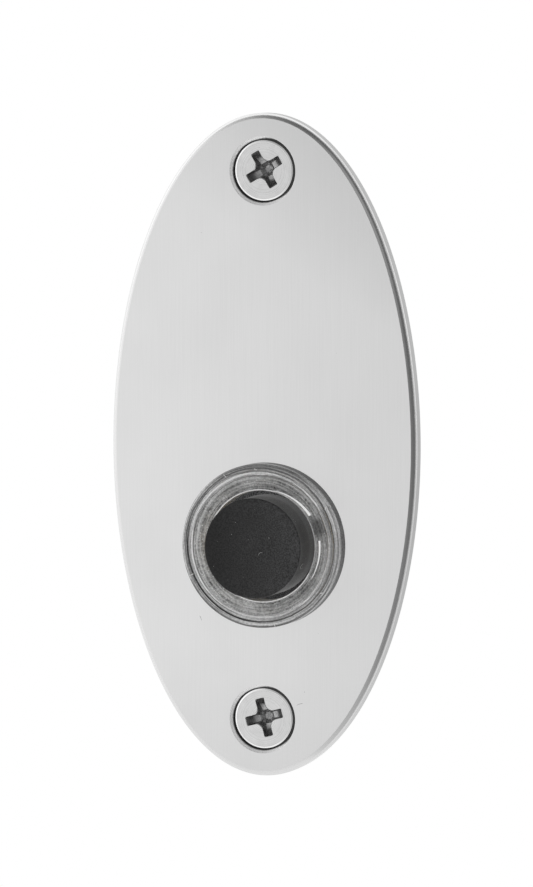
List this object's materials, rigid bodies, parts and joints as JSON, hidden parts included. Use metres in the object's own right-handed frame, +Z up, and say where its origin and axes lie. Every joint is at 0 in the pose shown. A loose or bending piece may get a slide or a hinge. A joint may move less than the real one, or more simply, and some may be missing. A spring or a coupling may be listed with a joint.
{
  "type": "doorbell push button",
  "caption": "Doorbell push button: flat oval satin-metal plate with countersunk screws, clear round lens housing and a black sprung push button.",
  "frame": {"origin": "centre of the face plate's flat back, which lies on the wall", "axes": "+Y into the wall, so the plate's front faces -Y; +Z up along the plate's long axis; +X to the right as seen from the front"},
  "size_m": [0.0428, 0.0322, 0.0888],
  "materials": {
    "satin_nickel": "satin nickel, fine vertical brushing",
    "plated_screw": "nickel plated, turned",
    "clear_lens": "clear moulded plastic, inner ring frosted",
    "button_plastic": "matte, fine grain",
    "base_plastic": "natural moulded",
    "brass_strip": "rolled strip",
    "contact_metal": "silvery contact rivet",
    "spring_steel": "drawn wire",
    "tinned_wire": "tinned",
    "lamp_lens": "clear moulded",
    "resistor_body": "lacquered"
  },
  "bodies": {
    "housing": {"face_plate": "satin_nickel", "upper_mounting_screw": "plated_screw", "lower_mounting_screw": "plated_screw", "lens_housing": "clear_lens", "rear_base": "base_plastic", "return_spring": "spring_steel", "pilot_lamp": "lamp_lens", "lamp_resistor": "resistor_body", "left_lamp_lead": "tinned_wire", "right_lamp_lead": "tinned_wire", "resistor_lead": "tinned_wire", "left_strip_contact": "contact_metal", "right_strip_contact": "contact_metal", "left_fixed_contact": "brass_strip", "right_fixed_contact": "brass_strip", "left_clamp_washer": "plated_screw", "right_clamp_washer": "plated_screw", "left_terminal_screw": "plated_screw", "right_terminal_screw": "plated_screw"},
    "button": {"push_button": "button_plastic", "contact_bridge": "brass_strip", "left_bridge_contact": "contact_metal", "right_bridge_contact": "contact_metal"}
  },
  "joints": [
    {"name": "button_press", "type": "slide", "parent": "housing", "child": "button", "axis": [0, 1, 0], "range_m": [0, 0.0016], "stiffness_N_per_m": 600, "springref_m": -0.0015, "deforming": ["return_spring"]}
  ]
}
